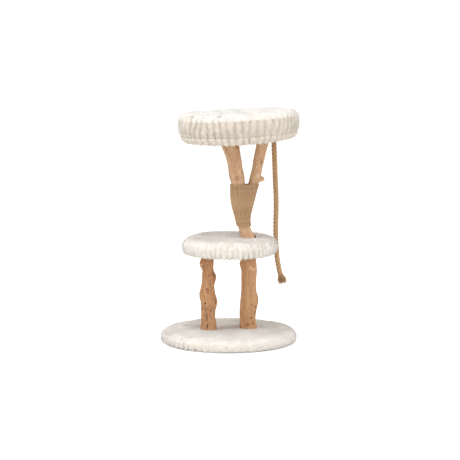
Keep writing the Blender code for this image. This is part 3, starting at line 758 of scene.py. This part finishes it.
def add_rope_end(route, material):
    """The frayed end: a dense brush of parted yarns that flares to the right."""
    rng = np.random.default_rng(8)
    end = route[-1]
    heading = unit(route[-1] - route[-12])
    reach = end[2] - TUFT_BOTTOM
    count = 900
    angle = rng.random(count) * FULL_TURN
    share = np.sqrt(rng.random(count))
    out = round_points(1, 0, angle) * (1, 0.75, 1)
    starts = end + out * share[:, None] * 0.0086 + np.array([0, 0, 0.004])
    flare = out * share[:, None] * np.where(out[:, :1] > 0, 0.20, 0.08)
    directions = unit(heading + np.array([0.05, 0, 0]) + flare + rng.normal(0, 0.03, (count, 3)))
    lengths = reach * rng.uniform(0.80, 1.02, count) * (1 - 0.10 * (1 - share))
    points, faces = fibre_bundle(starts, directions, lengths, 0.00080, 0.05, rng, sides=4)
    tuft = add_piece("play_rope_end", points, faces, material, body="rope")
    finish_fibres(tuft)
    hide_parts("rope_tuft")
    return tuft


def add_whipping(route, material):
    """A few turns of yarn that close the rope above its frayed end."""
    turns = 5
    pitch = 0.0021
    steps = 24  # round one turn
    count = turns * steps
    t = np.arange(count + 1) / steps
    middle = route[-6] + np.array([0, 0, 1.0]) * (turns / 2 - t[:, None]) * pitch
    middle[:, 0] = np.interp(-middle[:, 2], -route[:, 2], route[:, 0])
    middle[:, 1] = np.interp(-middle[:, 2], -route[:, 2], route[:, 1])
    path = middle + round_points(0.0093, 0, t * FULL_TURN)
    points = tube_points(path, 0.0011, 8).reshape(-1, 3)
    faces = tube_faces(count + 1, 8)
    whipping = add_piece("play_rope_whipping", points, faces, material, body="rope")
    finish_fibres(whipping)
    return whipping


def build_rope():
    # The last colour is the painted shade in the grooves.
    material = fibre_cord("rope_fibre", (0.58, 0.38, 0.22), (0.46, 0.29, 0.155), (0.13, 0.07, 0.033), 260)
    rope, route = add_rope(material)
    hairs = add_rope_fibres(route, material)
    tuft = add_rope_end(route, material)
    whipping = add_whipping(route, material)
    return material


# ---------------- plush


class Plane:
    """The tilted plane that the bed is built on, read from its board."""

    def __init__(self, node):
        points = positions(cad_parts[node].data)
        self.centre = (points.max(axis=0) + points.min(axis=0)) / 2
        spread = points - points.mean(axis=0)
        up = np.linalg.svd(spread, full_matrices=False)[2][2]
        self.up = up * np.sign(up[2])
        self.right = unit(np.array([1.0, 0, 0]) - self.up * self.up[0])
        self.back = np.cross(self.up, self.right)

    def world(self, local):
        axes = np.stack([self.right, self.back, self.up])
        return self.centre + self.right * BED_SHIFT + local @ axes


def gathers(angle, height, count, seed):
    """0 down in each fold and 1 on each ridge, for gathers of uneven width that lean a little."""
    circle = round_points(1, height * 2, angle)
    drift = noise(circle, 0.22, seed).reshape(angle.shape)
    lean = noise(circle * (1, 1, 5), 0.6, seed + 1).reshape(angle.shape)
    ridge = np.abs(np.sin(0.5 * count * angle + 1.05 * drift + 1.3 * lean))
    return ridge**0.65


def cloth_rows(profile, spacing, columns):
    """Radius, height and angle over a grid, and the profile's outward direction in each row."""
    line = smooth_curve(profile, spacing)
    slope = unit(np.gradient(line, axis=0))
    outward = np.stack([slope[:, 1], -slope[:, 0]], axis=1)
    angle = np.arange(columns) / columns * FULL_TURN
    shape = (len(line), columns)
    radius = np.broadcast_to(line[:, :1], shape).copy()
    height = np.broadcast_to(line[:, 1:], shape).copy()
    return radius, height, np.broadcast_to(angle, shape), outward


def push(radius, height, outward, amount):
    """Moves the grid along the profile's outward direction."""
    return radius + outward[:, :1] * amount, height + outward[:, 1:] * amount


def round_grid(radius, rim):
    """Which points of a round grid are kept, and its faces. Inner rows keep fewer and fewer columns."""
    rows, columns = radius.shape
    steps = [1 if reach > 0.62 * rim else 4 if reach > 0.25 * rim else 16 for reach in radius.mean(axis=1)]
    kept = np.zeros((rows, columns), bool)
    for row, step in enumerate(steps):
        kept[row, ::step] = True
    number = (np.cumsum(kept).reshape(kept.shape) - 1).tolist()
    faces = []
    for row, (outer, inner) in enumerate(zip(steps, steps[1:])):
        for column in range(0, columns, inner):
            rim_side = [number[row][place % columns] for place in range(column, column + inner + 1, outer)]
            faces.append(rim_side + [number[row + 1][(column + inner) % columns], number[row + 1][column]])
    faces.append([number[-1][column] for column in range(0, columns, steps[-1])])
    return kept, faces


def add_fine_pile(piece, depth=0.0008):
    """Small soft clumps in the pile."""
    mesh = piece.data
    points = positions(mesh)
    amount = noise(points, CLUMP_SIZE, 5) * 0.6 + noise(points, CLUMP_SIZE / 2.2, 6) * 0.4
    set_positions(mesh, points + vertex_normals(mesh) * (amount * depth)[:, None])


def pile_root_samples(mesh, spacing, rng):
    """Random points all over a mesh, with the smooth normal and the painted shade value at each."""
    mesh.calc_loop_triangles()
    corners = np.zeros(len(mesh.loop_triangles) * 3, np.int32)
    mesh.loop_triangles.foreach_get("vertices", corners)
    corners = corners.reshape(-1, 3)
    points, normals = positions(mesh), vertex_normals(mesh)
    a, b, c = (points[corners[:, k]] for k in range(3))
    area = np.linalg.norm(np.cross(b - a, c - a), axis=1) / 2
    count = int(area.sum() / spacing**2)
    pick = rng.choice(len(area), count, p=area / area.sum())
    u, v = rng.random((2, count, 1))
    u, v = np.where(u + v > 1, 1 - u, u), np.where(u + v > 1, 1 - v, v)
    shares = np.concatenate([1 - u - v, u, v], axis=1)[..., None]
    root = (points[corners[pick]] * shares).sum(axis=1)
    normal = unit((normals[corners[pick]] * shares).sum(axis=1))
    painted_plush_shade = np.zeros(len(points), np.float32)
    mesh.attributes["painted_plush_shade"].data.foreach_get("value", painted_plush_shade)
    return root, normal, (painted_plush_shade[corners[pick]] * shares[..., 0]).sum(axis=1)


def add_pile(name, cloth, tones, spacing, length, clear_of, lowest, seed):
    """Short tufts all over a cloth, each a closed three-sided point, combed by a slow drift."""
    rng = np.random.default_rng(seed)
    root, normal, painted_plush_shade = pile_root_samples(cloth.data, spacing, rng)
    keep = np.ones(len(root), bool)
    for x, y, radius in clear_of:
        keep &= np.hypot(root[:, 0] - x, root[:, 1] - y) > radius
    root, normal, painted_plush_shade = root[keep], normal[keep], painted_plush_shade[keep]
    count = len(root)
    comb = np.stack([noise(root, 0.035, seed + k) for k in (1, 2, 3)], axis=1)
    stray = rng.normal(0, PILE_STRAY, (count, 3))
    lean = unit(normal + comb * PILE_COMB + stray - np.array([0, 0, PILE_DROOP]))
    reach = length * rng.uniform(0.55, 1.15, count) * (1 + 0.25 * noise(root, 0.02, seed + 4))
    side = unit(np.cross(normal, rng.normal(0, 1, (count, 3))))
    other = np.cross(normal, side)
    width = length * rng.uniform(0.10, 0.17, count)[:, None]
    foot = root - normal * PILE_SINK
    tip = root + lean * reach[:, None]
    tip[:, 2] = np.maximum(tip[:, 2], lowest)
    ring = []
    for turn in np.arange(3) / 3 * FULL_TURN:
        ring.append(foot + width * (side * math.cos(turn) + other * math.sin(turn)))
    points = np.stack([*ring, tip], axis=1).reshape(-1, 3)
    first = np.arange(count)[:, None] * 4
    triangles = np.array([[0, 1, 3], [1, 2, 3], [2, 0, 3], [2, 1, 0]]).ravel()
    faces = (first + triangles).reshape(-1, 3)
    pile = add_piece(name, points, faces, tones[0])
    for tone in tones[1:]:
        pile.data.materials.append(tone)
    # Painted shade picks darker tones in the gathers; the rest is random tone.
    tone_and_painted_shade = painted_plush_shade * 2.6 + rng.normal(0.35, 0.55, count)
    tone_of = np.clip(tone_and_painted_shade.astype(int), 0, len(tones) - 1)
    pile.data.polygons.foreach_set("material_index", np.repeat(tone_of, 4).astype(np.int32))
    pile.data.normals_split_custom_set_from_vertices(np.repeat(normal, 4, axis=0).tolist())
    return pile


def build_bed_cover(plane, cloth_material):
    """The bed's pleated side and plush top, gathered along the stitch line."""
    columns = BED_PLEATS * 8
    radius, height, angle, outward = cloth_rows(BED_PROFILE, 0.0052, columns)
    ridge = gathers(angle, height, BED_PLEATS, BED_GATHER_SEED)
    small = gathers(angle + 0.4, height, BED_PLEATS * 2 - 7, 14)
    left = fade(-np.cos(angle), 0.45, 0.85)
    onto_top = fade(radius, 0.165, 0.226)
    pleated = onto_top * (1 - (1 - left) * 0.8 * fade(height, PLEAT_TOP - 0.008, PLEAT_TOP + 0.004))
    depth = pleated * (0.0034 + 0.0036 * left + 0.0012 * fade(height, 0.0, 0.025))
    fold = (1 - ridge) * depth + (1 - small) * 0.0022 * fade(-height, -0.030, 0.0)
    places = round_points(radius, height, angle)
    sag = noise(places, 0.09, 21) * 0.0022 + noise(places, 0.035, 22) * 0.0011
    sag = sag.reshape(radius.shape) * fade(height, 0.0, 0.02)
    amount = -fold + sag * (1 - 0.7 * fade(height, PLEAT_TOP, 0.085))
    flat_radius = radius
    side_shade_mask = fade(-height, -PLEAT_TOP - 0.003, -PLEAT_TOP + 0.005)
    radius, height = push(radius, height, outward, amount)
    height = height + 0.006 * left * fade(height, 0.045, 0.085) * onto_top
    kept, faces = round_grid(flat_radius, BED_RIM)
    points = plane.world(round_points(radius, height, angle))[kept.ravel()]
    cover = add_piece("bed_plush", points, faces, cloth_material)
    # Painted shade: down in the folds, more on the left, and over the whole side below the pleat top.
    painted_plush_shade = (1 - ridge) * pleated * (0.55 + 0.3 * left) + 0.54 * side_shade_mask
    set_values(cover.data, "painted_plush_shade", np.clip(painted_plush_shade, 0, 1)[kept])
    pinned = np.where(flat_radius < 0.16, 1.0, fade(1 - ridge, 0.45, 0.9) * 0.5)
    pinned[0] = 1
    swell(cover, pinned[kept], pressure=5, most=0.005)
    subdivide(cover)
    add_fine_pile(cover)
    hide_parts("bed_cover")
    return cover


def skirt_depth(angle):
    """The hem hangs deeper at the front and the back than at the sides."""
    from_front = angle - FRONT
    return SKIRT_DEPTH + 0.004 * np.cos(2 * from_front) + 0.001 * np.cos(from_front)


def build_skirt(plane, cloth_material):
    """The gathered strip below the stitch line, as one thin closed band."""
    columns = BED_PLEATS * 10
    angle = np.arange(columns) / columns * FULL_TURN
    down = np.concatenate([np.linspace(0, 1, 9), np.linspace(1, 0, 9)])
    inner = np.concatenate([np.zeros(9), np.ones(9)])
    angle, down = np.broadcast_arrays(angle[None, :], down[:, None])
    inner = inner[:, None]
    ridge = gathers(angle, -0.03 * down, BED_PLEATS, BED_GATHER_SEED)
    ruffle = gathers(angle + 0.2, 0.02 * down, BED_PLEATS + 13, 31)
    depth = skirt_depth(angle) + (ridge - 0.6) * 0.0065 + (ruffle - 0.6) * 0.0025
    height = -depth * down
    radius = SKIRT_TOP_RADIUS + (SKIRT_HEM_RADIUS - SKIRT_TOP_RADIUS) * down**1.6
    radius = radius + SKIRT_BULGE * np.sin(np.clip(down * 1.35, 0, 1) * math.pi)
    radius = radius - (1 - ridge) * SEAM_DENT + (ruffle - 0.5) * 0.0040 * down
    radius = radius - SKIRT_CLOTH * inner
    points = plane.world(round_points(radius, height, angle))
    faces = grid_faces(len(height), columns, closed_rows=True, turned=True)
    skirt = add_piece("bed_skirt_frill", points, faces, cloth_material)
    # Painted shade: in the folds, over the whole skirt under the bed, and more on its inner face.
    set_values(skirt.data, "painted_plush_shade", np.clip((1 - ridge) * 0.6 + 0.60 + 0.15 * inner, 0, 1).ravel())
    held = np.where((down < 0.06) | (down > 0.94), 1.0, 0.0)
    held = np.maximum(held, fade(1 - ridge, 0.5, 0.9) * 0.4)
    swell(skirt, held.ravel(), pressure=1.5, most=0.003)
    subdivide(skirt)
    add_fine_pile(skirt, depth=0.0006)
    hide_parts("bed_skirt")
    return skirt


def build_seam(plane, thread):
    """The line of stitches that gathers the cover and its skirt."""
    count = 236
    steps = 6
    points, faces = [], []
    for number in range(count):
        middle = number / count * FULL_TURN
        angle = middle + np.linspace(-0.0105, 0.0105, steps)
        ridge = gathers(angle, 0, BED_PLEATS, BED_GATHER_SEED)
        arch = 0.0008 * np.cos(np.linspace(-1.5, 1.5, steps))
        radius = SKIRT_TOP_RADIUS - 0.0002 - (1 - ridge) * SEAM_DENT + arch
        path = plane.world(round_points(radius, 0.0004, angle))
        faces += tube_faces(steps, 6, start=number * steps * 6)
        points.append(tube_points(path, 0.00055, 6).reshape(-1, 3))
    add_piece("bed_stitches", np.vstack(points), faces, thread)


def build_flat_cover(name, replaces, profile, centre_x, pleats, cloth_material, seed, folds, calm):
    """The gathered plush cover of the base or the platform. Its gathers lose the share calm at the front."""
    columns = pleats * 8
    radius, height, angle, outward = cloth_rows(profile, 0.0050, columns)
    rim = max(point[0] for point in profile)
    top = max(point[1] for point in profile)
    bottom = min(point[1] for point in profile)
    ridge = gathers(angle, height, pleats, seed)
    near_hem = 1 - fade(height, bottom, top)
    over_rim = fade(radius, rim - 0.045, rim - 0.008)
    patches = noise(round_points(1, 0, angle), 0.7, seed + 5).reshape(angle.shape)
    patches = 0.6 + 0.4 * fade(patches, -0.4, 0.5)
    gathered = 1 - calm * fade(np.cos(angle - CALM_DIRECTION), 0.35, 0.85)
    fold = (1 - ridge) * folds * over_rim * (0.35 + 0.65 * near_hem) * patches * gathered
    places = round_points(radius, height, angle)
    drape = noise(places, 0.11, seed + 2) * 0.0022 + noise(places, 0.045, seed + 3) * 0.0010
    amount = -fold + drape.reshape(radius.shape) * fade(height, bottom + 0.004, bottom + 0.02)
    flat_radius = radius
    radius, height = push(radius, height, outward, amount)
    scallop = (ridge - 0.5) * 0.0045 * (1 - fade(height, bottom, bottom + 0.022))
    height = height - scallop * over_rim * gathered
    kept, faces = round_grid(flat_radius, rim)
    points = (round_points(radius, height, angle) + np.array([centre_x, 0, 0]))[kept.ravel()]
    cover = add_piece(name, points, faces, cloth_material)
    # Painted shade down in the folds.
    set_values(cover.data, "painted_plush_shade", np.clip(fold / folds * 0.9, 0, 1)[kept])
    pinned = np.where(flat_radius < rim - 0.075, 1.0, fade(1 - ridge, 0.5, 0.9) * 0.4)
    pinned[:2] = 1
    swell(cover, pinned[kept], pressure=4, most=0.004)
    keep_above(cover, CLOTH_GAP)
    subdivide(cover)
    add_fine_pile(cover)
    keep_above(cover, FLOOR_GAP)
    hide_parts(replaces)
    return cover


def keep_above(piece, lowest):
    points = positions(piece.data)
    points[:, 2] = np.maximum(points[:, 2], lowest)
    set_positions(piece.data, points)


def limb_place(node, height):
    """The middle (x, y) of a CAD limb at a height, and its greatest radius there."""
    points = positions(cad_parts[node].data)
    near = points[np.abs(points[:, 2] - height) < 0.016]
    middle = (near[:, :2].max(axis=0) + near[:, :2].min(axis=0)) / 2
    reach = np.linalg.norm(near[:, :2] - middle, axis=1).max()
    return middle[0], middle[1], reach


def build_plush():
    cloth_material = plush_cloth()
    tones = [plush_tuft(f"plush_tuft_{number}", colour) for number, colour in enumerate(PILE_TONES)]
    plane = Plane("bed_board")
    bed = build_bed_cover(plane, cloth_material)
    skirt = build_skirt(plane, cloth_material)
    build_seam(plane, plush_tuft("thread", (0.80, 0.74, 0.66)))
    base = build_flat_cover("base_plush", "base_cover", BASE_PROFILE, 0.0, BASE_PLEATS, cloth_material,
                            41, 0.0070, calm=0.75)
    platform = build_flat_cover("platform_plush", "platform_cover", PLATFORM_PROFILE, PLATFORM_X,
                                PLATFORM_PLEATS, cloth_material, 61, 0.0080, calm=0.0)
    posts = [limb_place("knotty_post", 0.05), limb_place("smooth_post", 0.05)]
    stem = limb_place("forked_branch", 0.43)
    add_pile("bed_pile", bed, tones, PILE_SPACING, PILE_LENGTH, [], 0, 71)
    add_pile("skirt_pile", skirt, tones, PILE_SPACING, PILE_LENGTH * 0.7, [], 0, 72)
    add_pile("base_pile", base, tones, PILE_SPACING, PILE_LENGTH, posts, 0.0006, 73)
    add_pile("platform_pile", platform, tones, PILE_SPACING, PILE_LENGTH, [stem], 0, 74)


# ---------------- wood


def arm_side(points, splits):
    """0 on a limb and on its left arm, and 1 on its right arm."""
    if splits is None:
        return np.zeros(len(points), int)
    fork_height, split_x = splits
    return ((points[:, 2] > fork_height) & (points[:, 0] > split_x)).astype(int)


def limb_axis(points, side):
    """The middle of the limb near each point. Each arm has its own middle."""
    middles = np.zeros((len(points), 2))
    for number in np.unique(side):
        chosen = side == number
        here = points[chosen]
        edges = np.arange(here[:, 2].min(), here[:, 2].max() + 0.015, 0.015)
        bins = np.digitize(here[:, 2], edges)
        heights, centres = [], []
        for index in np.unique(bins):
            layer = here[bins == index]
            heights.append(layer[:, 2].mean())
            centres.append((layer[:, :2].max(axis=0) + layer[:, :2].min(axis=0)) / 2)
        centres = np.array(centres)
        for axis in range(2):
            middles[chosen, axis] = np.interp(here[:, 2], heights, centres[:, axis])
    return middles


def mark_shape(points, middles, height, direction, half_width, half_height):
    """1 in the middle of a mark and 0 away from it, with a ragged edge."""
    offset = points[:, :2] - middles
    radius = np.linalg.norm(offset, axis=1)
    turn = np.arctan2(offset[:, 1], offset[:, 0]) - math.radians(direction)
    turn = (turn + math.pi) % FULL_TURN - math.pi
    wobble = 1 + 0.45 * noise(points, 0.0045, 91) + 0.25 * noise(points, 0.0022, 92)
    across = turn * radius / half_width
    up = (points[:, 2] - height) / half_height
    return np.exp(-((across**2 + up**2) * np.maximum(wobble, 0.2)))


def add_marks(points, middles, side, marks):
    """How far the marks stand out at each point, and how strongly each coloured kind shows there."""
    raised = np.zeros(len(points))
    shown = {kind: np.zeros(len(points)) for kind in ("pit", "knot", "scar")}
    for arm, kinds in enumerate(marks):
        for kind, mark in [(kind, mark) for kind, group in kinds.items() for mark in group]:
            height, direction, half_width, half_height, depth = mark
            sizes = (height / 1000, direction, half_width / 1000, half_height / 1000)
            shape = mark_shape(points, middles, *sizes) * (side == arm)
            raised -= shape * depth / 1000
            if kind == "knot":
                rings = np.cos(np.sqrt(-np.log(np.maximum(shape, 1e-6))) * 9)
                raised += shape * rings * KNOT_RING_HEIGHT
            if kind in shown:
                shown[kind] = np.maximum(shown[kind], shape)
    return raised, shown


def rounded_limb(node, name):
    """A fine even copy of a CAD limb with its facets gone."""
    limb = add_object(name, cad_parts[node].data.copy())
    remesh = limb.modifiers.new("even", "REMESH")
    remesh.mode = "VOXEL"
    remesh.voxel_size = LIMB_VOXEL
    smooth = limb.modifiers.new("round", "SMOOTH")
    smooth.factor = 0.5
    smooth.iterations = 14
    subdivide(limb)
    return limb


def grow_limb(node, name, material, marks, ridge_depth, lumps, splits=None):
    """A natural limb: the CAD limb's own shape with ridges, lumps and marks added."""
    limb = rounded_limb(node, name)
    mesh = limb.data
    points = positions(mesh)
    side = arm_side(points, splits)
    middles = limb_axis(points, side)
    grain = np.column_stack([points[:, :2] - middles, points[:, 2] * 0.13])
    twisted = twist_about_axis(grain, points[:, 2])
    amount = sum(noise(twisted, size, seed) * share for size, seed, share in RIDGE_LAYERS) * ridge_depth
    amount += noise(points, 0.030, 54) * lumps + noise(points, 0.011, 55) * lumps * 0.45
    raised, shown = add_marks(points, middles, side, marks)
    set_positions(mesh, points + vertex_normals(mesh) * (amount + raised)[:, None])
    set_values(mesh, "grain", twisted)
    for kind, values in shown.items():
        set_values(mesh, kind, values)
    mesh.materials.clear()
    mesh.materials.append(material)
    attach(limb, "tree")
    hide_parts(node)


def twist_about_axis(grain, height):
    """The grain winds slowly round the limb."""
    turn = height * 1.6
    x = grain[:, 0] * np.cos(turn) - grain[:, 1] * np.sin(turn)
    y = grain[:, 0] * np.sin(turn) + grain[:, 1] * np.cos(turn)
    return np.column_stack([x, y, grain[:, 2]])


def build_wood():
    knotty = wood("knotty_wood", (0.57, 0.325, 0.16), (0.43, 0.21, 0.095), (0.20, 0.088, 0.038), 200, 0.75)
    smooth = wood("smooth_wood", (0.59, 0.345, 0.175), (0.47, 0.255, 0.12), (0.27, 0.13, 0.06), 380, 0.30)
    branch = wood("branch_bark", (0.66, 0.445, 0.285), (0.53, 0.33, 0.19), (0.30, 0.17, 0.105), 300, 0.45)
    grow_limb("knotty_post", "knotty_trunk", knotty, [KNOTTY_POST_MARKS], 0.0024, 0.0020)
    grow_limb("smooth_post", "smooth_trunk", smooth, [SMOOTH_POST_MARKS], 0.0008, 0.0009)
    splits = (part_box("jute_wrap")[1].z - 0.005, 0.072)
    arms = [LONG_ARM_MARKS, SHORT_ARM_MARKS]
    grow_limb("forked_branch", "fork", branch, arms, 0.0008, 0.0009, splits)


# ---------------- wrap


def wrap_path():
    """The middle of the wrap's cord, close round the outside of the CAD wrap, a little uneven."""
    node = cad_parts["jute_wrap"]
    points = positions(node.data)
    faces = [list(face.vertices) for face in node.data.polygons]
    surface = BVHTree.FromPolygons(points.tolist(), faces)
    low, high = points[:, 2].min() + WRAP_CORD_RADIUS, points[:, 2].max() - WRAP_CORD_RADIUS
    count = int((high - low) / WRAP_PITCH) * WRAP_STEPS
    path = np.zeros((count + 1, 3))
    for index in range(count + 1):
        height = low + (high - low) * index / count
        layer = points[np.abs(points[:, 2] - height) < 0.02]
        middle = (layer[:, :2].max(axis=0) + layer[:, :2].min(axis=0)) / 2
        angle = index / WRAP_STEPS * FULL_TURN
        outward = np.array([math.cos(angle), math.sin(angle), 0.0])
        start = np.array([*middle, height]) + outward * 0.2
        hit = surface.ray_cast(Vector(start), Vector(-outward))[0]
        path[index] = np.array(hit) - outward * (WRAP_CORD_RADIUS - 0.0004)
    middles = limb_axis(path, np.zeros(len(path), int))
    outward = unit(np.column_stack([path[:, :2] - middles, np.zeros(count + 1)]))
    return path + outward * (noise(path, 0.012, 81) * 0.00035)[:, None]


def build_wrap():
    """One long thin two-ply cord wound close round both arms."""
    path = wrap_path()
    along = np.arange(len(path))
    angles = np.arange(WRAP_SIDES) / WRAP_SIDES * FULL_TURN
    twist = WRAP_PLIES * angles[None, :] - along[:, None] * 1.35
    relief = np.abs(np.sin(twist / 2))
    rings = tube_points(path, WRAP_CORD_RADIUS * (0.90 + 0.16 * relief), WRAP_SIDES)
    faces = tube_faces(len(path), WRAP_SIDES)
    # The last colour is the painted shade in the grooves.
    material = fibre_cord("jute_fibre", (0.56, 0.375, 0.225), (0.45, 0.29, 0.165), (0.20, 0.115, 0.055), 420)
    wrap = add_piece("jute_winding", rings.reshape(-1, 3), faces, material)
    strand_turn = twist.ravel() / WRAP_PLIES
    strand = round_points(0.003, np.repeat(along * 0.0004, WRAP_SIDES), strand_turn)[:, [1, 0, 2]]
    set_values(wrap.data, "strand", strand)
    # Painted shade down between the plies, with random darker bands along the height.
    band = noise(path * (0, 0, 1), 0.007, 83) * 0.22
    set_values(wrap.data, "groove_shade_and_tone", np.clip(0.85 * (1 - relief) + band[:, None], 0, 1).ravel())
    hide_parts("jute_wrap")


# ---------------- carried-over parts


def dress_frame(rope_material):
    """Materials for the CAD nodes that are shown as they are."""
    materials = {
        "board": plywood(),
        "foam": foam(),
        "zinc": zinc(),
        "rubber": rubber(),
        "elastic": elastic(),
        "rope": rope_material,
    }
    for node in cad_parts.values():
        old = node.data.materials[0].name if node.data.materials else ""
        if old in materials:
            node.data.materials.clear()
            node.data.materials.append(materials[old])


add_studio()
rope_material = build_rope()
build_plush()
build_wood()
build_wrap()
dress_frame(rope_material)
